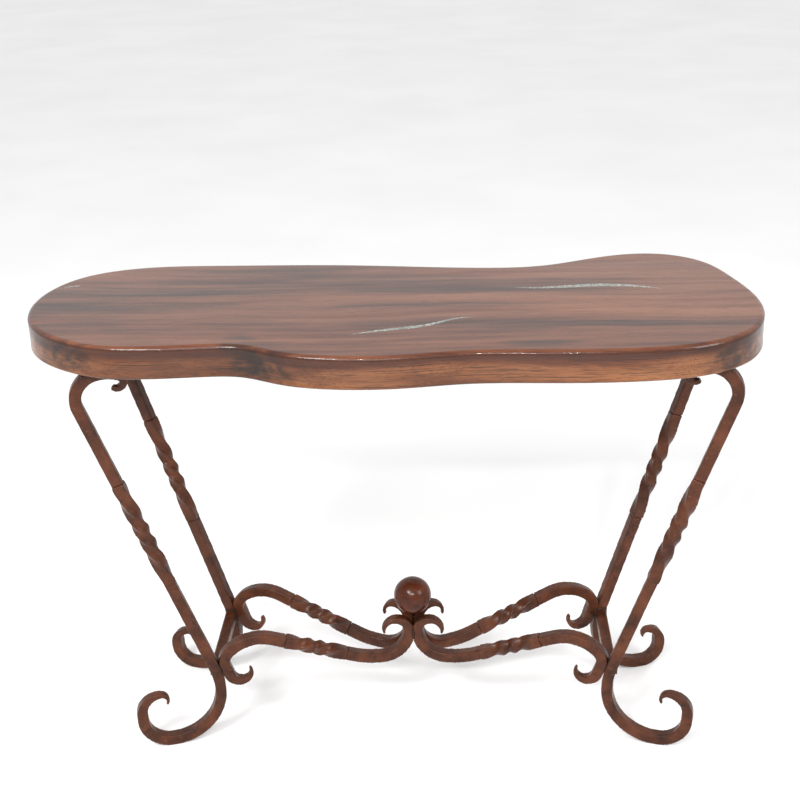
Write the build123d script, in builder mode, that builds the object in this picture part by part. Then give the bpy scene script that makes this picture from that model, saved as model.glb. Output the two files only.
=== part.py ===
"""Console table: a live-edge hardwood slab with stone-filled cracks on a forged scroll base.

Frame: millimetres, +Z up, +X to the right along the slab, +Y to the rear.  The origin is on
the floor, under the middle of the slab.  The base stands a little off that middle.

Each corner of the base lies in one upright plane, which runs from the middle of the base out
to the corner.  In that plane the first coordinate is the reach out from the middle and the
second is the height.  Headings are degrees from "straight out", turning towards "up".
"""
import os
from math import asin, atan2, cos, degrees, pi, radians, sin, sqrt

from build123d import *

# ---------------------------------------------------------------- slab
slab_length = 1250.0
slab_depth = 516.0
slab_thickness = 55.0
table_height = 815.0
slab_top_round = 9.0
slab_bottom_round = 5.0
slab_underside = table_height - slab_thickness

# Live edge, as shares of half the length and half the depth, anticlockwise from the front left.
LIVE_EDGE = [
    (-0.80, -0.70), (-0.67, -0.79), (-0.47, -0.77), (-0.37, -0.78), (-0.27, -0.90), (-0.13, -0.99),
    (0.04, -0.99), (0.20, -0.93), (0.42, -0.93), (0.64, -0.92), (0.80, -0.84), (0.93, -0.62),
    (0.99, -0.30), (0.995, 0.08), (0.96, 0.46), (0.90, 0.80), (0.79, 0.98), (0.68, 0.985),
    (0.55, 0.87), (0.43, 0.75), (0.28, 0.72), (0.10, 0.76), (-0.15, 0.83), (-0.50, 0.86),
    (-0.75, 0.83), (-0.90, 0.66), (-0.98, 0.34), (-0.995, 0.02), (-0.95, -0.36),
]

# ---------------------------------------------------------------- stone inlays
inlay_depth = 6.0
# Each crack: its middle line as places on the slab, and its greatest width.
CRACKS = {
    "front_inlay": ([(-62, -158), (-20, -143), (20, -131), (62, -119), (104, -92), (146, -82)], 11.0),
    "rear_right_inlay": ([(212, 66), (285, 64), (356, 72), (418, 66), (470, 46)], 14.0),
    "left_inlay": ([(-590, 96), (-574, 106), (-556, 110)], 5.0),
}

# ---------------------------------------------------------------- base: shared
base_shift_x = 26.0
base_shift_y = -10.0
iron_bar = 20.0
insert_bar = 21.6
plan_angle = 14.4
plane_offset = 9.0
station_step = 4.0
mitre_depth = 1.0
weld_sink = 0.6
twist_plain_share = 0.1
twist_stations = 24

# ---------------------------------------------------------------- legs
ankle_reach = 374.4
hook_radius = 45.0
hook_reach = 513.0
hook_fall_radius = 70.0
hook_fall_turn = 25.0
hook_curl_radius = 12.0
hook_curl_turn = 195.0
hook_tip = 8.0
hook_tip_width = 12.0
leg_insert_length = 216.0
leg_upper_seam_height = 545.0
ankle_height = 152.0
ankle_radius = 150.0
foot_rise_radius = 52.0
foot_rise_straight = 12.0
foot_top_radius = 35.0
foot_curl_radius = 14.0
foot_curl_turn = 125.0
rear_foot_share = 0.72
foot_tip = 4.0
foot_tip_width = 8.0
leg_twist = 360.0

# ---------------------------------------------------------------- arms
arm_slope = 22.0
arm_insert_length = 122.0
arm_twist = 270.0
arm_weld_height = 147.0
arm_weld_length = 22.0
arm_shoulder_radius = 25.0
arm_shoulder_turn = 63.0
arm_back_radius = 75.0
arm_back_straight = 26.0
arm_scroll_radius = 24.0
arm_scroll_rise_radius = 17.0
arm_scroll_tip_radius = 12.0
arm_scroll_tip_turn = 40.0
arm_scroll_tip = 4.5
arm_scroll_tip_width = 9.0
arm_sag_radius = 150.0
arm_rise_radius = 48.0
rear_arm_post = 14.0
curl_radius = 27.5
curl_fall_radius = 20.0
curl_tip_radius = 12.0
curl_tip_turn = 30.0
curl_tip = 4.0
curl_tip_width = 10.0
curl_seat_turn = 62.0

# ---------------------------------------------------------------- ball, crossbars, straps, screws
ball_diameter = 70.0
ball_sink = 1.0
crossbar_height = 140.0
strap_width = 30.0
strap_thickness = 6.0
strap_slot_length = 14.0
strap_slot_width = 7.0
screw_shank = 5.0
screw_length = 30.0
screw_head = 12.0
screw_head_height = 3.5
screw_slot_width = 1.4
screw_slot_depth = 1.2
screw_pitch = 85.0

os.makedirs("parts", exist_ok=True)

CORNERS = {
    "front_left": (-1, -1),
    "front_right": (1, -1),
    "rear_left": (-1, 1),
    "rear_right": (1, 1),
}


def keep(builder, name):
    """Label a finished piece and write it."""
    builder.part.label = name
    export_step(builder.part, f"parts/{name}.step")


# ---------------------------------------------------------------- corner planes and paths
def corner_plane(side, row):
    """Upright plane of one corner: x is the reach out from the middle, y is the height."""
    out = Vector(side * cos(radians(plan_angle)), row * sin(radians(plan_angle)), 0)
    middle = (base_shift_x, base_shift_y + row * plane_offset, 0)
    return Plane(origin=middle, x_dir=out, z_dir=(out.Y, -out.X, 0))


def polar(length, heading):
    return Vector(length * cos(radians(heading)), length * sin(radians(heading)))


def run_end(at, heading, run):
    """End of a straight run (0, length) or of an arc (radius, turn) that leaves `at`."""
    radius, amount = run
    if radius == 0:
        return at + polar(amount, heading), heading
    side = 90 if amount > 0 else -90
    centre = at + polar(radius, heading + side)
    return centre + polar(radius, heading + amount - side), heading + amount


def chain_end(at, heading, runs):
    """End of several runs in a row."""
    for run in runs:
        at, heading = run_end(at, heading, run)
    return at, heading


def run_length(run):
    radius, amount = run
    return amount if radius == 0 else radius * abs(radians(amount))


def point_along(at, heading, runs, distance):
    """Place and heading at a distance along several runs in a row."""
    for run in runs:
        length = run_length(run)
        if distance <= length:
            return run_end(at, heading, (run[0], run[1] * distance / length))
        at, heading = run_end(at, heading, run)
        distance -= length
    return at, heading


def bar_section(plane, at, heading, wide, thick, turn=0.0):
    """Section across a bar: x goes through the bar's side faces and y through its thickness."""
    ahead = plane.x_dir * cos(radians(heading)) + plane.y_dir * sin(radians(heading))
    across = Plane(origin=plane.from_local_coords(at), x_dir=plane.z_dir, z_dir=ahead)
    with BuildSketch(across) as section:
        Rectangle(wide, thick, rotation=turn)
    return section.sketch


def square_bar(plane, at, heading, runs, size):
    """Add a square bar of even size along the runs; gives where it ends."""
    for radius, amount in runs:
        section = bar_section(plane, at, heading, size, size)
        if radius == 0:
            extrude(section, amount=amount)
        else:
            side = 1 if amount > 0 else -1
            centre = plane.from_local_coords(at + polar(radius, heading + 90 * side))
            revolve(section, axis=Axis(centre, plane.z_dir * side), revolution_arc=abs(amount))
        at, heading = run_end(at, heading, (radius, amount))
    return at, heading


def drawn_tip(plane, at, heading, runs, size, tip, tip_width):
    """Add a tip drawn out from the bar's full size to `tip` thick and `tip_width` wide."""
    total = sum(run_length(run) for run in runs)
    stations = round(total / station_step)
    sections = []
    for station in range(stations + 1):
        share = station / stations
        place, way = point_along(at, heading, runs, total * share)
        thick = size + (tip - size) * share
        wide = size + (tip_width - size) * share**2
        sections.append(bar_section(plane, place, way, wide, thick))
    loft(sections)


def twisted_bar(plane, at, heading, length, size, turn):
    """Add a straight square bar with a left-hand twist that eases in and out at its ends."""
    plain = length * twist_plain_share
    sections = [bar_section(plane, at, heading, size, size)]
    for step in range(twist_stations + 1):
        share = step / twist_stations
        eased = share - sin(radians(360 * share)) / (4 * pi)
        place = at + polar(plain + (length - 2 * plain) * share, heading)
        sections.append(bar_section(plane, place, heading, size, size, -turn * eased))
    sections.append(bar_section(plane, at + polar(length, heading), heading, size, size))
    loft(sections)


# ---------------------------------------------------------------- leg lines worked out from the sizes
hook_centre = Vector(hook_reach, slab_underside - iron_bar / 2 - hook_radius)
ankle = Vector(ankle_reach, ankle_height)
ankle_to_hook = hook_centre - ankle
leg_lean = degrees(
    atan2(ankle_to_hook.X, ankle_to_hook.Y) + asin(hook_radius / ankle_to_hook.length)
)
leg_up = 90 - leg_lean
leg_head = hook_centre + polar(hook_radius, leg_up - 90)


def leg_point(height):
    """Place on the leg's straight middle line at a height."""
    return leg_head + polar((height - leg_head.Y) / sin(radians(leg_up)), leg_up)


upper_seam = leg_point(leg_upper_seam_height)
lower_seam = upper_seam - polar(leg_insert_length, leg_up)
foot_radius = ankle_height - ankle_radius * sin(radians(leg_lean)) - iron_bar / 2

# ---------------------------------------------------------------- arm lines worked out from the sizes
arm_weld = leg_point(arm_weld_height) + polar(iron_bar - weld_sink, leg_up + 90)
SHOULDER_RUNS = [
    (arm_shoulder_radius, arm_shoulder_turn),
    (arm_back_radius, 180 + arm_slope - leg_up - arm_shoulder_turn),
    (0, arm_back_straight),
]
arm_outer_seam, arm_heading = chain_end(arm_weld, leg_up, SHOULDER_RUNS)
arm_inner_seam = arm_outer_seam + polar(arm_insert_length, arm_heading)
arm_post_reach = iron_bar / 2 - mitre_depth
arm_straight = (
    arm_inner_seam.X - arm_post_reach - arm_sag_radius * sin(radians(arm_slope)) - arm_rise_radius
) / cos(radians(arm_slope))
ARM_RUNS = [
    (0, arm_straight),
    (arm_sag_radius, -arm_slope),
    (arm_rise_radius, -90),
]
curl_start, _ = chain_end(arm_inner_seam, arm_heading, ARM_RUNS)
CURL_RUNS = [
    (curl_radius, -90),
    (curl_fall_radius, -90),
    (curl_tip_radius, -curl_tip_turn),
]

# The ball rests on the two rear curls, each of which it meets `curl_seat_turn` into the curl.
ball_radius = ball_diameter / 2
curl_centre = curl_start + Vector(curl_radius, rear_arm_post)
curl_length = sum(run_length(run) for run in CURL_RUNS)
seat_share = curl_radius * radians(curl_seat_turn) / curl_length
seat_thickness = iron_bar + (curl_tip - iron_bar) * seat_share
ball_aside = plane_offset * cos(radians(plan_angle))
ball_slice = sqrt(ball_radius**2 - ball_aside**2)
ball_rest = ball_slice + curl_radius + seat_thickness / 2 - ball_sink
seat_reach = curl_centre.X + plane_offset * sin(radians(plan_angle))
ball_height = curl_centre.Y + sqrt(ball_rest**2 - seat_reach**2)
ball_centre = (base_shift_x, base_shift_y, ball_height)


# ---------------------------------------------------------------- slab and inlays
def crack_outline(middle_line, width):
    """A crack: pointed at both ends and widest in its middle."""
    count = len(middle_line) - 1
    upper = []
    lower = []
    for index in range(1, count):
        share = index / count
        half = width / 2 * sin(radians(180 * share))
        x, y = middle_line[index]
        upper.append((x, y + half))
        lower.append((x, y - half))
    with BuildSketch(Plane.XY.offset(table_height)) as outline:
        with BuildLine():
            Spline(middle_line[0], *upper, middle_line[-1])
            Spline(middle_line[0], *lower, middle_line[-1])
        make_face()
    return outline.sketch


def across_reach(reach):
    """Distance from the base's middle to a bar that joins two legs at this reach, along X."""
    return reach * cos(radians(plan_angle)) + iron_bar / 2 * sin(radians(plan_angle))


strap_reach = across_reach(hook_reach)


def strap_screw_places(side):
    """Screw places on one strap, seen from above."""
    return [(base_shift_x + side * strap_reach, base_shift_y + row * screw_pitch) for row in (-1, 0, 1)]


def inner_face(side, row):
    """Plane of a leg's flat side that looks at the other leg of its end."""
    plane = corner_plane(side, row)
    inward = plane.z_dir * (side * row)
    return Plane(origin=plane.origin + inward * (iron_bar / 2), z_dir=inward)


with BuildPart() as slab_top:
    with BuildSketch(Plane.XY.offset(slab_underside)):
        with BuildLine():
            Spline(*[(u * slab_length / 2, v * slab_depth / 2) for u, v in LIVE_EDGE], periodic=True)
        make_face()
    extrude(amount=slab_thickness)
    fillet(slab_top.edges().group_by(Axis.Z)[-1], slab_top_round)
    fillet(slab_top.edges().group_by(Axis.Z)[0], slab_bottom_round)
    for middle_line, width in CRACKS.values():
        extrude(crack_outline(middle_line, width), amount=-inlay_depth, mode=Mode.SUBTRACT)
    with BuildSketch(Plane.XY.offset(slab_underside)):
        with Locations(*strap_screw_places(-1), *strap_screw_places(1)):
            Circle(screw_shank / 2)
    extrude(amount=screw_length - strap_thickness, mode=Mode.SUBTRACT)
keep(slab_top, "slab_top")

for name, (middle_line, width) in CRACKS.items():
    with BuildPart() as inlay:
        extrude(crack_outline(middle_line, width), amount=-inlay_depth)
    keep(inlay, name)

# ---------------------------------------------------------------- the four corners
for corner, (side, row) in CORNERS.items():
    plane = corner_plane(side, row)

    with BuildPart() as leg_hook:
        top_runs = [
            (0, (leg_head - upper_seam).length),
            (hook_radius, 90 + leg_lean),
        ]
        hook_apex, hook_way = square_bar(plane, upper_seam, leg_up, top_runs, iron_bar)
        curl_runs = [(hook_fall_radius, hook_fall_turn), (hook_curl_radius, hook_curl_turn)]
        drawn_tip(plane, hook_apex, hook_way, curl_runs, iron_bar, hook_tip, hook_tip_width)
    keep(leg_hook, f"{corner}_leg_hook")

    with BuildPart() as leg_twisted:
        twisted_bar(plane, lower_seam, leg_up, leg_insert_length, insert_bar, leg_twist)
    keep(leg_twisted, f"{corner}_leg_twist")

    # The rear feet are wound tighter than the front ones.
    foot_share = rear_foot_share if row > 0 else 1.0

    with BuildPart() as leg_foot:
        foot_runs = [
            (0, (lower_seam - ankle).length),
            (ankle_radius, leg_lean),
            (foot_radius, 90),
            (foot_rise_radius * foot_share, 90),
            (0, foot_rise_straight * foot_share),
        ]
        foot_side, foot_way = square_bar(plane, lower_seam, leg_up - 180, foot_runs, iron_bar)
        tip_runs = [
            (foot_top_radius * foot_share, 90),
            (foot_curl_radius * foot_share, foot_curl_turn),
        ]
        drawn_tip(plane, foot_side, foot_way, tip_runs, iron_bar, foot_tip, foot_tip_width)
    keep(leg_foot, f"{corner}_leg_foot")

    with BuildPart() as arm_scroll:
        square_bar(plane, arm_weld, leg_up, SHOULDER_RUNS, iron_bar)
        low, low_way = square_bar(plane, arm_weld, leg_up - 180, [(0, arm_weld_length)], iron_bar)
        scroll_runs = [
            (arm_scroll_radius, -leg_up),
            (arm_scroll_rise_radius, -90),
            (arm_scroll_tip_radius, -arm_scroll_tip_turn),
        ]
        tip_size = (arm_scroll_tip, arm_scroll_tip_width)
        drawn_tip(plane, low, low_way, scroll_runs, iron_bar, *tip_size)
        add(leg_foot.part, mode=Mode.SUBTRACT)
    keep(arm_scroll, f"{corner}_arm_scroll")

    with BuildPart() as arm_twisted:
        twisted_bar(plane, arm_outer_seam, arm_heading, arm_insert_length, insert_bar, arm_twist)
    keep(arm_twisted, f"{corner}_arm_twist")

    # The rear arms rise a little further than the front ones before they curl.
    arm_runs = ARM_RUNS + [(0, rear_arm_post)] if row > 0 else ARM_RUNS

    with BuildPart() as arm_curl:
        curl_foot, curl_way = square_bar(plane, arm_inner_seam, arm_heading, arm_runs, iron_bar)
        drawn_tip(plane, curl_foot, curl_way, CURL_RUNS, iron_bar, curl_tip, curl_tip_width)
        split(bisect_by=Plane(origin=ball_centre, z_dir=(side, 0, 0)), keep=Keep.TOP)
        split(bisect_by=Plane(origin=ball_centre, z_dir=(0, row, 0)), keep=Keep.TOP)
        with Locations(ball_centre):
            Sphere(ball_radius, mode=Mode.SUBTRACT)
    keep(arm_curl, f"{corner}_arm_curl")

with BuildPart() as ball:
    with Locations(ball_centre):
        Sphere(ball_radius)
keep(ball, "centre_ball")

# ---------------------------------------------------------------- crossbars, straps and screws
for name, side in (("left", -1), ("right", 1)):
    front_face = inner_face(side, -1)
    rear_face = inner_face(side, 1)
    crossbar_reach = across_reach(leg_point(crossbar_height).X)

    with BuildPart() as leg_crossbar:
        with BuildSketch(Plane.XZ.offset(-base_shift_y)):
            with Locations((base_shift_x + side * crossbar_reach, crossbar_height)):
                Rectangle(iron_bar, iron_bar)
        extrude(amount=hook_reach, both=True)
        split(bisect_by=front_face, keep=Keep.TOP)
        split(bisect_by=rear_face, keep=Keep.TOP)
    keep(leg_crossbar, f"{name}_crossbar")

    with BuildPart() as top_strap:
        with BuildSketch(Plane.XY.offset(slab_underside)):
            with Locations((base_shift_x + side * strap_reach, base_shift_y)):
                Rectangle(strap_width, 2 * hook_reach)
            with Locations(*strap_screw_places(side)):
                SlotOverall(strap_slot_length, strap_slot_width, rotation=90, mode=Mode.SUBTRACT)
        extrude(amount=-strap_thickness)
        split(bisect_by=front_face, keep=Keep.TOP)
        split(bisect_by=rear_face, keep=Keep.TOP)
    keep(top_strap, f"{name}_top_strap")

with BuildPart() as strap_screws:
    with BuildSketch(Plane.XY.offset(slab_underside - strap_thickness)):
        with Locations(*strap_screw_places(-1), *strap_screw_places(1)):
            Circle(screw_head / 2)
    extrude(amount=-screw_head_height)
    fillet(strap_screws.edges().group_by(Axis.Z)[0], screw_head_height / 2)
    with BuildSketch(Plane.XY.offset(slab_underside - strap_thickness)):
        with Locations(*strap_screw_places(-1), *strap_screw_places(1)):
            Circle(screw_shank / 2)
    extrude(amount=screw_length)
    with BuildSketch(Plane.XY.offset(slab_underside - strap_thickness - screw_head_height)):
        with Locations(*strap_screw_places(-1), *strap_screw_places(1)):
            Rectangle(screw_head, screw_slot_width)
    extrude(amount=screw_slot_depth, mode=Mode.SUBTRACT)
keep(strap_screws, "strap_screws")
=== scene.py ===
"""Looks of the console table: a live-edge slab with stone-filled cracks on a forged scroll base.

Metres, +Z up, +X to the right along the slab, +Y to the rear, origin on the floor.
"""
import random
from math import cos, radians, sin

import bmesh
import bpy
from mathutils import Matrix, Vector, noise


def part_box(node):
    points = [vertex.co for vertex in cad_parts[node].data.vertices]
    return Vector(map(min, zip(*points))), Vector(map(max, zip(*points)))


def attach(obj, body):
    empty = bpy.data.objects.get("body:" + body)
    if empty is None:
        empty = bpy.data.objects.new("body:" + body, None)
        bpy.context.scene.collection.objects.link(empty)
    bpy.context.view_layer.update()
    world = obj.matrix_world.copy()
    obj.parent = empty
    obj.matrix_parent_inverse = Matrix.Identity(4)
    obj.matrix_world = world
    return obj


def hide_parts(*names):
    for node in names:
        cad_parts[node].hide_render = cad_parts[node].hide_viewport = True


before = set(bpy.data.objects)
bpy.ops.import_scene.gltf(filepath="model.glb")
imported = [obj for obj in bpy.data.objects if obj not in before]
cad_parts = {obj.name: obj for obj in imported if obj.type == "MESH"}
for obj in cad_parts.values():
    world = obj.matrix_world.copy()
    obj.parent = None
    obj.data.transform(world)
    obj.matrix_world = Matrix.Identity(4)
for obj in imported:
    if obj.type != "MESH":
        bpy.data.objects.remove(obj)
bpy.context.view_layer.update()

CORNERS = {
    "front_left": (-1, -1),
    "front_right": (1, -1),
    "rear_left": (-1, 1),
    "rear_right": (1, 1),
}
BAR_PIECES = ["leg_hook", "leg_twist", "leg_foot", "arm_scroll", "arm_twist", "arm_curl"]

slab_low, slab_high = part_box("slab_top")
slab_top_z = slab_high.z
slab_bottom_z = slab_low.z
ball_low, ball_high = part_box("centre_ball")
ball_centre = (ball_low + ball_high) / 2
ball_radius = (ball_high.x - ball_low.x) / 2


# ---------------------------------------------------------------- node helpers
class Nodes:
    """A material's node tree, with short calls for the nodes that the materials use."""

    def __init__(self, name):
        self.material = bpy.data.materials.new(name)
        self.material.use_nodes = True
        self.tree = self.material.node_tree
        self.shader = self.tree.nodes["Principled BSDF"]
        self.object_place = self.tree.nodes.new("ShaderNodeTexCoord").outputs["Object"]

    def link(self, value, socket):
        """Lead a node's output, or a plain value, into a socket."""
        if isinstance(value, bpy.types.NodeSocket):
            self.tree.links.new(value, socket)
        else:
            socket.default_value = value

    def math(self, operation, a, b=0.0):
        node = self.tree.nodes.new("ShaderNodeMath")
        node.operation = operation
        for value, socket in zip((a, b), node.inputs):
            self.link(value, socket)
        return node.outputs["Value"]

    def stretched(self, scale, place=None, shift=(0, 0, 0)):
        """The place, scaled and shifted."""
        node = self.tree.nodes.new("ShaderNodeMapping")
        node.inputs["Scale"].default_value = scale
        node.inputs["Location"].default_value = shift
        self.link(place or self.object_place, node.inputs["Vector"])
        return node.outputs["Vector"]

    def noise(self, place, scale, detail=4.0, roughness=0.55, distortion=0.0):
        node = self.tree.nodes.new("ShaderNodeTexNoise")
        node.inputs["Scale"].default_value = scale
        node.inputs["Detail"].default_value = detail
        node.inputs["Roughness"].default_value = roughness
        node.inputs["Distortion"].default_value = distortion
        self.link(place, node.inputs["Vector"])
        return node

    def cells(self, place, scale, feature="F1"):
        """Cells with straight borders, like packed stones."""
        node = self.tree.nodes.new("ShaderNodeTexVoronoi")
        node.feature = feature
        node.inputs["Scale"].default_value = scale
        self.link(place, node.inputs["Vector"])
        return node

    def ramp(self, value, stops):
        """Colour of a value, between stops of (value, colour) in rising order."""
        node = self.tree.nodes.new("ShaderNodeValToRGB")
        elements = node.color_ramp.elements
        while len(elements) < len(stops):
            elements.new(0.5)
        for element, (place, colour) in zip(elements, stops):
            element.position = place
            element.color = (*colour, 1.0)
        self.link(value, node.inputs["Fac"])
        return node.outputs["Color"]

    def range(self, value, low, high, out_low=0.0, out_high=1.0):
        """Smooth step of a value from low..high to out_low..out_high."""
        node = self.tree.nodes.new("ShaderNodeMapRange")
        node.interpolation_type = "SMOOTHSTEP"
        self.link(value, node.inputs["Value"])
        node.inputs["From Min"].default_value = low
        node.inputs["From Max"].default_value = high
        node.inputs["To Min"].default_value = out_low
        node.inputs["To Max"].default_value = out_high
        return node.outputs["Result"]

    def mix(self, share, a, b):
        """Colour a where the share is 0, and colour b where it is 1."""
        node = self.tree.nodes.new("ShaderNodeMix")
        node.data_type = "RGBA"
        self.link(share, node.inputs["Factor"])
        colour_sockets = [socket for socket in node.inputs if socket.type == "RGBA"]
        for value, socket in zip((a, b), colour_sockets):
            self.link((*value, 1.0) if isinstance(value, tuple) else value, socket)
        return [socket for socket in node.outputs if socket.type == "RGBA"][0]

    def parts(self, vector):
        """The three parts of a vector or a colour."""
        node = self.tree.nodes.new("ShaderNodeSeparateXYZ")
        self.link(vector, node.inputs["Vector"])
        return node.outputs["X"], node.outputs["Y"], node.outputs["Z"]

    def normal(self):
        return self.tree.nodes.new("ShaderNodeNewGeometry").outputs["Normal"]

    def bump(self, height, distance, strength):
        node = self.tree.nodes.new("ShaderNodeBump")
        node.inputs["Strength"].default_value = strength
        node.inputs["Distance"].default_value = distance
        self.link(height, node.inputs["Height"])
        return node.outputs["Normal"]


# ---------------------------------------------------------------- wood
# Dark places in the wood: middle (x, y, z), half sizes, and strength.
WOOD_DARK = [
    ((-0.200, -0.215, 0.785), (0.050, 0.045, 0.035), 1.0),
    ((-0.235, -0.190, 0.812), (0.030, 0.050, 0.020), 0.7),
    ((-0.385, -0.178, 0.812), (0.130, 0.010, 0.014), 0.9),
    ((-0.520, -0.175, 0.790), (0.060, 0.060, 0.022), 0.9),
    ((0.244, -0.205, 0.812), (0.060, 0.016, 0.016), 0.6),
    ((0.370, -0.222, 0.806), (0.150, 0.020, 0.006), 1.0),
    ((0.545, -0.170, 0.785), (0.055, 0.080, 0.030), 0.75),
    ((0.060, -0.020, 0.815), (0.220, 0.014, 0.010), 0.45),
    ((0.140, 0.060, 0.815), (0.260, 0.012, 0.010), 0.4),
    ((-0.330, 0.060, 0.815), (0.170, 0.020, 0.010), 0.45),
    ((0.020, 0.125, 0.815), (0.130, 0.022, 0.010), 0.5),
]

PORE_COLOUR = (0.022, 0.010, 0.007)
DARK_COLOUR = (0.016, 0.008, 0.006)
CRACK_COLOUR = (0.020, 0.008, 0.004)
RIM_COLOUR = (0.034, 0.009, 0.004)

# The grain wanders sideways and up by this much along the slab.
GRAIN_WANDER = (0.0, 0.085, 0.05)
BAND_SHARE = 0.70
STREAK_SHARE = 0.30

# The border of the sapwood and the dark rim wander in height. Their heights are counted from
# the slab's top, with the wander added.
BORDER_WANDER = 0.030
SAP_NONE = 0.002
SAP_FULL = -0.014
RIM_NONE = -0.012
RIM_FULL = 0.004


def wood_material():
    """Glossy walnut-like hardwood with long streaks, dark heartwood and a paler sapwood edge."""
    n = Nodes("slab_wood")
    warp = n.noise(n.stretched((1.5, 4.0, 4.0)), 1.0, detail=3.0)
    bent = n.tree.nodes.new("ShaderNodeVectorMath")
    bent.operation = "MULTIPLY_ADD"
    n.link(warp.outputs["Color"], bent.inputs[0])
    bent.inputs[1].default_value = GRAIN_WANDER
    n.link(n.object_place, bent.inputs[2])
    grain_place = bent.outputs[0]

    bands = n.noise(n.stretched((0.8, 6.5, 7.0), grain_place), 1.5, detail=5.0, roughness=0.58)
    streaks = n.noise(n.stretched((1.6, 42.0, 38.0), grain_place), 1.3, detail=6.0, roughness=0.62)
    pores = n.noise(n.stretched((28.0, 900.0, 700.0), grain_place), 1.0, detail=2.0, roughness=0.5)
    rings = n.math("ADD", n.math("MULTIPLY", bands.outputs["Fac"], BAND_SHARE),
                   n.math("MULTIPLY", streaks.outputs["Fac"], STREAK_SHARE))
    heart = n.ramp(rings, [
        (0.36, (0.018, 0.005, 0.003)),
        (0.44, (0.065, 0.017, 0.007)),
        (0.50, (0.115, 0.034, 0.014)),
        (0.57, (0.155, 0.050, 0.021)),
        (0.68, (0.215, 0.080, 0.036)),
    ])
    sap = n.ramp(rings, [
        (0.36, (0.040, 0.012, 0.004)),
        (0.45, (0.105, 0.034, 0.012)),
        (0.54, (0.190, 0.070, 0.026)),
        (0.66, (0.260, 0.110, 0.045)),
    ])
    _, _, height = n.parts(n.object_place)
    _, _, facing_up = n.parts(n.normal())
    side = n.range(n.math("ABSOLUTE", facing_up), 0.80, 0.30)
    edge_wave = n.noise(n.stretched((5.0, 5.0, 30.0)), 1.0, detail=3.0)
    edge_height = n.math("ADD", height, n.math("MULTIPLY", edge_wave.outputs["Fac"], BORDER_WANDER))
    sap_height = n.range(edge_height, slab_top_z + SAP_NONE, slab_top_z + SAP_FULL)
    colour = n.mix(n.math("MULTIPLY", side, sap_height), heart, sap)
    crack_noise = n.noise(n.stretched((6.0, 6.0, 620.0)), 1.0, detail=4.0, roughness=0.65)
    crack = n.range(crack_noise.outputs["Fac"], 0.43, 0.37, 0.0, 0.9)
    colour = n.mix(n.math("MULTIPLY", side, crack), colour, CRACK_COLOUR)
    rim = n.range(edge_height, slab_top_z + RIM_NONE, slab_top_z + RIM_FULL, 0.0, 0.8)
    colour = n.mix(n.math("MULTIPLY", side, rim), colour, RIM_COLOUR)

    blotch = n.noise(n.stretched((11.0, 24.0, 60.0)), 1.0, detail=5.0, roughness=0.6, distortion=0.5)
    dark = 0.0
    for middle, half, strength in WOOD_DARK:
        shift = tuple(-m / h for m, h in zip(middle, half))
        near = n.stretched(tuple(1 / h for h in half), shift=shift)
        length = n.tree.nodes.new("ShaderNodeVectorMath")
        length.operation = "LENGTH"
        n.link(near, length.inputs[0])
        reach = n.math("ADD", length.outputs["Value"], n.math("MULTIPLY", blotch.outputs["Fac"], 1.1))
        spot = n.range(reach, 1.90, 1.00, 0.0, strength)
        dark = n.math("MAXIMUM", dark, spot)
    dark_streaks = n.range(streaks.outputs["Fac"], 0.42, 0.60, 1.0, 0.25)
    colour = n.mix(n.math("MULTIPLY", dark, dark_streaks), colour, DARK_COLOUR)
    fleck = n.range(pores.outputs["Fac"], 0.36, 0.50, 0.45, 0.0)
    colour = n.mix(fleck, colour, PORE_COLOUR)
    n.link(colour, n.shader.inputs["Base Color"])
    n.link(n.range(streaks.outputs["Fac"], 0.3, 0.7, 0.34, 0.22), n.shader.inputs["Roughness"])
    n.link(n.bump(pores.outputs["Fac"], 0.0003, 0.35), n.shader.inputs["Normal"])
    n.shader.inputs["Specular IOR Level"].default_value = 0.20
    n.shader.inputs["Coat Weight"].default_value = 0.32
    n.shader.inputs["Coat Roughness"].default_value = 0.06
    return n.material


# ---------------------------------------------------------------- stone
STONES_A_METRE = 260.0
SPECKLE_COLOUR = (0.10, 0.12, 0.11)
JOINT_COLOUR = (0.030, 0.024, 0.020)
RESIN_COLOUR = (0.060, 0.024, 0.014)


def stone_material():
    """Crushed turquoise and grey stone set in dark clear resin."""
    n = Nodes("crushed_stone")
    stones = n.cells(n.object_place, STONES_A_METRE)
    joints = n.cells(n.object_place, STONES_A_METRE, "DISTANCE_TO_EDGE")
    tint, _, shine = n.parts(stones.outputs["Color"])
    colour = n.ramp(tint, [
        (0.05, (0.110, 0.120, 0.095)),
        (0.35, (0.250, 0.275, 0.225)),
        (0.60, (0.200, 0.290, 0.250)),
        (0.80, (0.420, 0.430, 0.360)),
        (0.97, (0.600, 0.600, 0.520)),
    ])
    speckle = n.noise(n.object_place, 900.0, detail=3.0)
    colour = n.mix(n.range(speckle.outputs["Fac"], 0.35, 0.65, 0.0, 0.5), colour, SPECKLE_COLOUR)
    gap = n.range(joints.outputs["Distance"], 0.03, 0.16, 0.9, 0.0)
    colour = n.mix(gap, colour, JOINT_COLOUR)
    breaks = n.noise(n.stretched((60.0, 130.0, 60.0)), 1.0, detail=4.0, roughness=0.7)
    resin = n.range(breaks.outputs["Fac"], 0.46, 0.38)
    n.link(n.mix(resin, colour, RESIN_COLOUR), n.shader.inputs["Base Color"])
    n.link(n.range(shine, 0.0, 1.0, 0.18, 0.5), n.shader.inputs["Roughness"])
    n.link(n.bump(joints.outputs["Distance"], 0.0006, 0.4), n.shader.inputs["Normal"])
    n.shader.inputs["Coat Weight"].default_value = 0.8
    n.shader.inputs["Coat Roughness"].default_value = 0.12
    return n.material


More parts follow.
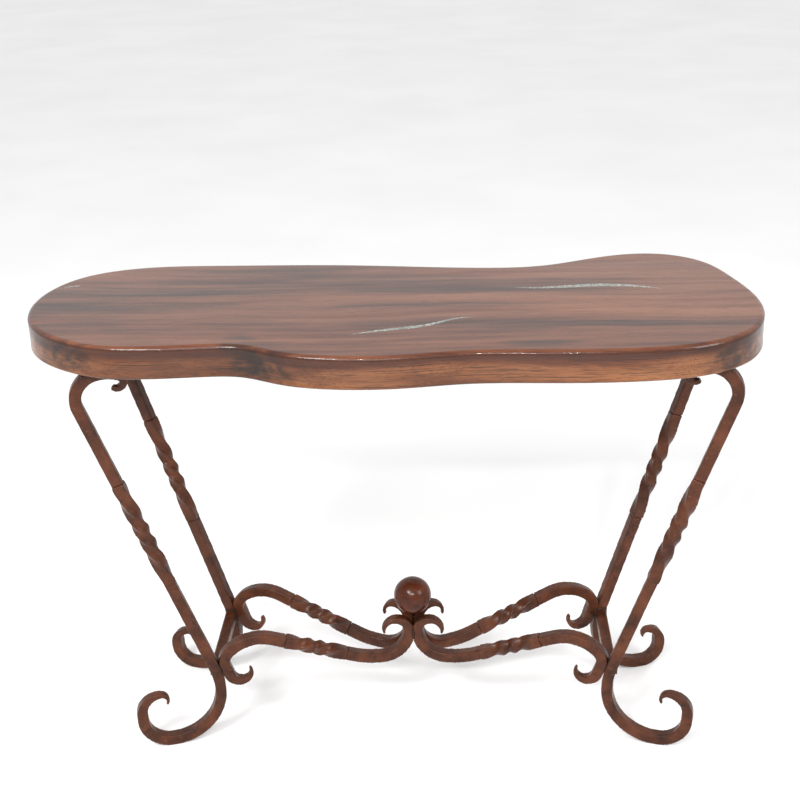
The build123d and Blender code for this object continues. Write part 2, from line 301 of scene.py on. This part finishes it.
# ---------------------------------------------------------------- iron
SCALE_COLOUR = (0.014, 0.006, 0.004)
WORN_COLOUR = (0.200, 0.085, 0.050)
DARKER_SHARE = 0.42
PALER_SHARE = 1.75
GLOSS_SPREAD = 0.2


def iron_material(name, base, gloss, hammer):
    """Rust-brown lacquer over forged iron, with darker fire scale and paler worn patches.

    The gloss is the lowest roughness, and the hammer is the height of its marks in metres.
    """
    n = Nodes(name)
    cloud = n.noise(n.object_place, 22.0, detail=6.0, roughness=0.62)
    fine = n.noise(n.object_place, 160.0, detail=5.0, roughness=0.65)
    scale = n.noise(n.object_place, 60.0, detail=4.0, roughness=0.7, distortion=0.4)
    darker = tuple(channel * DARKER_SHARE for channel in base)
    paler = tuple(channel * PALER_SHARE for channel in base)
    colour = n.ramp(cloud.outputs["Fac"], [(0.30, darker), (0.50, base), (0.72, paler)])
    colour = n.mix(n.range(scale.outputs["Fac"], 0.56, 0.68, 0.0, 0.65), colour, SCALE_COLOUR)
    colour = n.mix(n.range(fine.outputs["Fac"], 0.60, 0.72, 0.0, 0.40), colour, WORN_COLOUR)
    n.link(colour, n.shader.inputs["Base Color"])
    roughness = n.range(scale.outputs["Fac"], 0.3, 0.7, gloss, gloss + GLOSS_SPREAD)
    n.link(roughness, n.shader.inputs["Roughness"])
    height = n.math("ADD", n.math("MULTIPLY", scale.outputs["Fac"], 0.8), fine.outputs["Fac"])
    n.link(n.bump(height, hammer, 0.6), n.shader.inputs["Normal"])
    n.shader.inputs["Specular IOR Level"].default_value = 0.16
    n.shader.inputs["Coat Weight"].default_value = 0.09
    n.shader.inputs["Coat Roughness"].default_value = 0.16
    return n.material


def screw_material():
    """Dull dark steel of the hidden screws."""
    n = Nodes("screw_steel")
    stain = n.noise(n.object_place, 240.0, detail=4.0)
    colour = n.ramp(stain.outputs["Fac"], [(0.35, (0.10, 0.09, 0.085)), (0.65, (0.28, 0.26, 0.25))])
    n.link(colour, n.shader.inputs["Base Color"])
    n.link(n.range(stain.outputs["Fac"], 0.3, 0.7, 0.35, 0.6), n.shader.inputs["Roughness"])
    n.shader.inputs["Metallic"].default_value = 0.9
    return n.material


def floor_material():
    """Pale plain floor."""
    n = Nodes("pale_floor")
    tone = n.noise(n.object_place, 1.5, detail=2.0)
    n.link(n.ramp(tone.outputs["Fac"], [(0.3, (0.80, 0.80, 0.80)), (0.7, (0.84, 0.84, 0.84))]),
           n.shader.inputs["Base Color"])
    n.shader.inputs["Roughness"].default_value = 0.9
    return n.material


WOOD = wood_material()
STONE = stone_material()
IRON = iron_material("wrought_iron", base=(0.058, 0.0170, 0.0068), gloss=0.26, hammer=0.0005)
BALL_IRON = iron_material("ball_iron", base=(0.045, 0.0110, 0.0045), gloss=0.10, hammer=0.00003)
WELD_IRON = iron_material("weld_iron", base=(0.018, 0.008, 0.005), gloss=0.28, hammer=0.0006)
SCREW = screw_material()


# ---------------------------------------------------------------- mesh helpers
def new_piece(name, mesh, material):
    """Link a mesh as a piece of the object's one body."""
    mesh.materials.clear()
    mesh.materials.append(material)
    piece = bpy.data.objects.new(name, mesh)
    bpy.context.scene.collection.objects.link(piece)
    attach(piece, "root")
    return piece


def applied(piece):
    """Put a piece's modifiers into its mesh."""
    bpy.context.view_layer.update()
    graph = bpy.context.evaluated_depsgraph_get()
    mesh = bpy.data.meshes.new_from_object(piece.evaluated_get(graph))
    mesh.name = piece.name
    piece.modifiers.clear()
    piece.data = mesh


def paint(node, material):
    """Give a CAD node its material."""
    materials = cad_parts[node].data.materials
    materials.clear()
    materials.append(material)


JOIN_DISTANCE = 2e-6


def node_copy(node):
    """A copy of a CAD node's mesh with its doubled corners joined."""
    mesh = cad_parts[node].data.copy()
    work = bmesh.new()
    work.from_mesh(mesh)
    bmesh.ops.remove_doubles(work, verts=work.verts, dist=JOIN_DISTANCE)
    for attribute in ("custom_normal", "sharp_face", "sharp_edge"):
        if attribute in mesh.attributes:
            mesh.attributes.remove(mesh.attributes[attribute])
    work.to_mesh(mesh)
    work.free()
    return mesh


# The feet stay this much above the floor.
FLOOR_GAP = 0.0002
SMOOTH_FACTOR = 0.5

# Hammer marks: how closely the broad and the fine ones lie, and their shares of the depth.
BROAD_MARKS = 55.0
FINE_MARKS = 130.0
BROAD_SHARE = 0.7
FINE_SHARE = 0.3


def forged(name, node, material, voxel, rounds, mark):
    """Stand-in for a bar or the ball: the same shape with rounded corners and hammer marks."""
    piece = new_piece(name, node_copy(node), material)
    remesh = piece.modifiers.new("remesh", "REMESH")
    remesh.mode = "VOXEL"
    remesh.voxel_size = voxel
    smooth = piece.modifiers.new("smooth", "SMOOTH")
    smooth.factor = SMOOTH_FACTOR
    smooth.iterations = rounds
    applied(piece)
    mesh = piece.data
    mesh.polygons.foreach_set("use_smooth", [True] * len(mesh.polygons))
    moved = []
    for vertex in mesh.vertices:
        broad = noise.noise(vertex.co * BROAD_MARKS)
        fine = noise.noise(vertex.co * FINE_MARKS)
        dent = broad * BROAD_SHARE + fine * FINE_SHARE
        place = vertex.co + vertex.normal * (dent * mark)
        moved.extend((place.x, place.y, max(place.z, FLOOR_GAP)))
    mesh.vertices.foreach_set("co", moved)
    mesh.update()
    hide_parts(node)


# ---------------------------------------------------------------- slab
EDGE_LEVELS = 9
TOP_ROLL = 0.010
BOTTOM_ROLL = 0.006
EDGE_WAVE = 0.0022
RIPPLE_SHARE = 0.35

# How closely the hollows and the ripples lie, along the slab and up its side.
WAVE_ALONG = 7
WAVE_UP = 20
RIPPLE_ALONG = 24
RIPPLE_UP = 60
RIPPLE_SHIFT = 5

# Only what lies beyond one of these is waved. The front and rear stone pockets and the left
# strap's screw holes lie within both.
INNER_X = 0.52
INNER_Y = 0.16

# Smaller moves than this share are left out. A face is level where its normal's upright part is
# above the second value, and an edge is smooth where it bends less than the third.
LEAST_SHARE = 1e-4
LEVEL_NORMAL = 0.99995
SHARPEST_SMOOTH = radians(35)


def live_edge_slab():
    """The slab with a hand-shaped edge: shallow hollows and ripples in its sides."""
    mesh = node_copy("slab_top")
    work = bmesh.new()
    work.from_mesh(mesh)
    side_height = slab_top_z - slab_bottom_z - TOP_ROLL - BOTTOM_ROLL
    for level in range(EDGE_LEVELS):
        share = (level + 0.5) / EDGE_LEVELS
        height = slab_bottom_z + BOTTOM_ROLL + side_height * share
        everything = work.verts[:] + work.edges[:] + work.faces[:]
        bmesh.ops.bisect_plane(work, geom=everything, plane_co=(0, 0, height), plane_no=(0, 0, 1))
    work.normal_update()
    normals = [vertex.normal.copy() for vertex in work.verts]
    for vertex, normal in zip(work.verts, normals):
        outward = Vector((normal.x, normal.y, 0))
        below_top = min(1.0, (slab_top_z - vertex.co.z) / TOP_ROLL)
        above_bottom = min(1.0, (vertex.co.z - slab_bottom_z) / BOTTOM_ROLL)
        share = below_top * above_bottom * outward.length
        place = vertex.co
        near_side = abs(place.x) > INNER_X or abs(place.y) > INNER_Y
        if share < LEAST_SHARE or not near_side:
            continue
        wave = noise.noise(Vector((place.x * WAVE_ALONG, place.y * WAVE_ALONG, place.z * WAVE_UP)))
        ripple_place = Vector((
            place.x * RIPPLE_ALONG,
            place.y * RIPPLE_ALONG,
            place.z * RIPPLE_UP + RIPPLE_SHIFT,
        ))
        ripple = noise.noise(ripple_place)
        inward = (0.5 + 0.5 * wave) * EDGE_WAVE + (0.5 + 0.5 * ripple) * EDGE_WAVE * RIPPLE_SHARE
        vertex.co = place - outward.normalized() * (inward * share)
    work.normal_update()
    for edge in work.edges:
        levels = [abs(face.normal.z) > LEVEL_NORMAL for face in edge.link_faces]
        bend = edge.calc_face_angle(0.0)
        edge.smooth = levels.count(True) != 1 and bend < SHARPEST_SMOOTH
    for face in work.faces:
        face.smooth = True
    work.to_mesh(mesh)
    work.free()
    piece = new_piece("live_edge_slab", mesh, WOOD)
    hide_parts("slab_top")


live_edge_slab()

for node in ("front_inlay", "rear_right_inlay", "left_inlay"):
    paint(node, STONE)

# ---------------------------------------------------------------- bars and ball of the base
BAR_LOOK = {"voxel": 0.0018, "rounds": 3, "mark": 0.00045}
BALL_LOOK = {"voxel": 0.0025, "rounds": 6, "mark": 0.00003}

for corner in CORNERS:
    for bar in BAR_PIECES:
        node = f"{corner}_{bar}"
        forged(f"{node}_forged", node, IRON, **BAR_LOOK)

for node in ("left_crossbar", "right_crossbar"):
    forged(f"{node}_forged", node, IRON, **BAR_LOOK)

forged("centre_ball_forged", "centre_ball", BALL_IRON, **BALL_LOOK)

for node in ("left_top_strap", "right_top_strap"):
    paint(node, IRON)
paint("strap_screws", SCREW)

# ---------------------------------------------------------------- weld beads
# As in the CAD: the bars' angle in plan, their distance from the middle line, half a bar.
PLAN_ANGLE = radians(14.4)
PLANE_OFFSET = 0.009
HALF_BAR = 0.010

# Weld beads: distance between drops, their wander and spread as shares of the bead's radius.
WELD_STEP = 0.0028
WELD_WANDER = 0.25
WELD_SMALLEST = 0.8
WELD_LARGEST = 1.15
WELD_VOXEL = 0.0008
WELD_ROUNDS = 2

ARM_WELD_RADIUS = 0.0024
ARM_WELD_SINK = HALF_BAR * 0.4
ARM_WELD_HALF = HALF_BAR * 0.9
ARM_WELD_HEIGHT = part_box("left_crossbar")[1].z + 0.004
CROSSBAR_WELD_RADIUS = 0.0022
MIDDLE_WELD_RADIUS = 0.0026
MIDDLE_WELD_LOW = 0.046
MIDDLE_WELD_HIGH = 0.066
BALL_WELD_RADIUS = 0.0030
SEAT_ANGLE = radians(35)


def weld_bead(name, path, radius, seed):
    """A run of weld metal along a path: overlapping drops, melted into each other."""
    draw = random.Random(seed)
    work = bmesh.new()
    for start, end in zip(path, path[1:]):
        steps = max(1, round((end - start).length / WELD_STEP))
        for step in range(steps + 1):
            place = start.lerp(end, step / steps)
            wander = Vector((draw.uniform(-1, 1), draw.uniform(-1, 1), draw.uniform(-1, 1)))
            place += wander * radius * WELD_WANDER
            size = radius * draw.uniform(WELD_SMALLEST, WELD_LARGEST)
            turn = Matrix.Translation(place) @ Matrix.Diagonal((size, size, size, 1))
            bmesh.ops.create_icosphere(work, subdivisions=2, radius=1.0, matrix=turn)
    mesh = bpy.data.meshes.new(name)
    work.to_mesh(mesh)
    work.free()
    piece = new_piece(name, mesh, WELD_IRON)
    remesh = piece.modifiers.new("remesh", "REMESH")
    remesh.mode = "VOXEL"
    remesh.voxel_size = WELD_VOXEL
    smooth = piece.modifiers.new("smooth", "SMOOTH")
    smooth.iterations = WELD_ROUNDS
    applied(piece)
    piece.data.polygons.foreach_set("use_smooth", [True] * len(piece.data.polygons))


def bar_way(side, row):
    """Directions of one corner of the base: out along its bars, and across them to their front."""
    out = Vector((side * cos(PLAN_ANGLE), row * sin(PLAN_ANGLE), 0))
    across = Vector((out.y, -out.x, 0)) * side
    return out, across


def arm_weld(corner, side, row):
    """Weld in the crease where an arm leaves its leg."""
    low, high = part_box(f"{corner}_arm_scroll")
    out, across = bar_way(side, row)
    edge_x = low.x if side < 0 else high.x
    reach = abs(edge_x - ball_centre.x) / cos(PLAN_ANGLE) - ARM_WELD_SINK
    middle = Vector((ball_centre.x, ball_centre.y + row * PLANE_OFFSET, ARM_WELD_HEIGHT)) + out * reach
    path = [middle - across * ARM_WELD_HALF, middle + across * ARM_WELD_HALF]
    weld_bead(f"{corner}_arm_weld", path, ARM_WELD_RADIUS, f"{corner} arm")


def crossbar_weld(name, side, row):
    """Weld round one end of a crossbar, on the flat side of the leg."""
    low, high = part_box(f"{name}_crossbar")
    outer = low.x if side < 0 else high.x
    inner = high.x if side < 0 else low.x
    end = low.y if row < 0 else high.y
    inner_end = end - row * abs(outer - inner) * sin(PLAN_ANGLE) / cos(PLAN_ANGLE)
    corners = [
        Vector((inner, inner_end, low.z)),
        Vector((inner, inner_end, high.z)),
        Vector((outer, end, high.z)),
        Vector((outer, end, low.z)),
    ]
    end_name = "front" if row < 0 else "rear"
    weld_bead(f"{name}_crossbar_weld_{end_name}", corners, CROSSBAR_WELD_RADIUS, f"{name} {row}")


for corner, (side, row) in CORNERS.items():
    arm_weld(corner, side, row)

for name, side in (("left", -1), ("right", 1)):
    for row in (-1, 1):
        crossbar_weld(name, side, row)

# The left and right arms meet back to back, and a weld runs up each side of that joint. Its
# two heights are counted from the bottom of the curls.
for name, row in (("front", -1), ("rear", 1)):
    arm_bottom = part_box(f"{name}_left_arm_curl")[0].z
    face = ball_centre.y + row * (PLANE_OFFSET + HALF_BAR) / cos(PLAN_ANGLE)
    foot = Vector((ball_centre.x, face, arm_bottom + MIDDLE_WELD_LOW))
    head = Vector((ball_centre.x, face, arm_bottom + MIDDLE_WELD_HIGH))
    weld_bead(f"{name}_middle_weld", [foot, head], MIDDLE_WELD_RADIUS, f"{name} middle")

# The ball is welded to the two rear curls.
for name, side in (("left", -1), ("right", 1)):
    out, across = bar_way(side, 1)
    down = Vector((0, 0, -1))
    seat = ball_centre + (out * sin(SEAT_ANGLE) + down * cos(SEAT_ANGLE)) * ball_radius
    seat.y += PLANE_OFFSET
    path = [seat - across * HALF_BAR, seat + across * HALF_BAR]
    weld_bead(f"{name}_ball_weld", path, BALL_WELD_RADIUS, f"{name} ball")

# ---------------------------------------------------------------- floor, light and camera
FLOOR_HALF = 30.0
floor_mesh = bpy.data.meshes.new("floor")
floor_mesh.from_pydata(
    [(-FLOOR_HALF, -FLOOR_HALF, 0), (FLOOR_HALF, -FLOOR_HALF, 0),
     (FLOOR_HALF, FLOOR_HALF, 0), (-FLOOR_HALF, FLOOR_HALF, 0)],
    [], [(0, 1, 2, 3)])
floor_mesh.materials.append(floor_material())
floor = bpy.data.objects.new("floor", floor_mesh)
bpy.context.scene.collection.objects.link(floor)

WORLD_STRENGTH = 0.98
world = bpy.data.worlds.new("studio")
world.use_nodes = True
background = world.node_tree.nodes["Background"]
background.inputs["Color"].default_value = (1.0, 1.0, 1.0, 1.0)
background.inputs["Strength"].default_value = WORLD_STRENGTH
bpy.context.scene.world = world


def area_light(name, place, target, width, height, power):
    """A rectangular lamp at a place, turned to a target."""
    light = bpy.data.lights.new(name, "AREA")
    light.shape = "RECTANGLE"
    light.size = width
    light.size_y = height
    light.energy = power
    lamp = bpy.data.objects.new(name, light)
    lamp.location = place
    lamp.rotation_euler = (Vector(target) - Vector(place)).to_track_quat("-Z", "Y").to_euler()
    bpy.context.scene.collection.objects.link(lamp)


area_light("key", place=(-1.5, -2.6, 3.2), target=(0, 0, 0.5), width=1.2, height=0.8, power=110)
area_light("fill", place=(2.6, -1.6, 2.2), target=(0, 0, 0.4), width=1.2, height=1.2, power=40)

# A row of small ceiling lamps in front of the table, behind the viewer.
LAMP_COUNT = 4
LAMP_FIRST_X = -0.75
LAMP_STEP = 0.42
for number in range(LAMP_COUNT):
    lamp_place = (LAMP_FIRST_X + LAMP_STEP * number, -3.1, 2.5)
    area_light(f"lamp_{number}", lamp_place, target=(0, 0, 0.4), width=0.10, height=0.08, power=16)

# The viewer stands in front of the table, a little right of its middle, and looks down at it.
camera_place = Vector((0.114, -2.175, 1.577))
camera_yaw = radians(-2.66)
camera_pitch = radians(23.46)
camera_roll = radians(-1.70)
camera_lens = 60.8

ahead = Vector((
    sin(camera_yaw) * cos(camera_pitch),
    cos(camera_yaw) * cos(camera_pitch),
    -sin(camera_pitch),
))
level = Vector((cos(camera_yaw), -sin(camera_yaw), 0))
above = level.cross(ahead)
right = level * cos(camera_roll) + above * sin(camera_roll)
upward = above * cos(camera_roll) - level * sin(camera_roll)
camera_data = bpy.data.cameras.new("camera")
camera_data.lens = camera_lens
camera_data.sensor_width = 36.0
camera = bpy.data.objects.new("camera", camera_data)
camera.matrix_world = Matrix((
    (right.x, upward.x, -ahead.x, camera_place.x),
    (right.y, upward.y, -ahead.y, camera_place.y),
    (right.z, upward.z, -ahead.z, camera_place.z),
    (0, 0, 0, 1),
))
bpy.context.scene.collection.objects.link(camera)
bpy.context.scene.camera = camera
bpy.context.scene.view_settings.view_transform = "Standard"
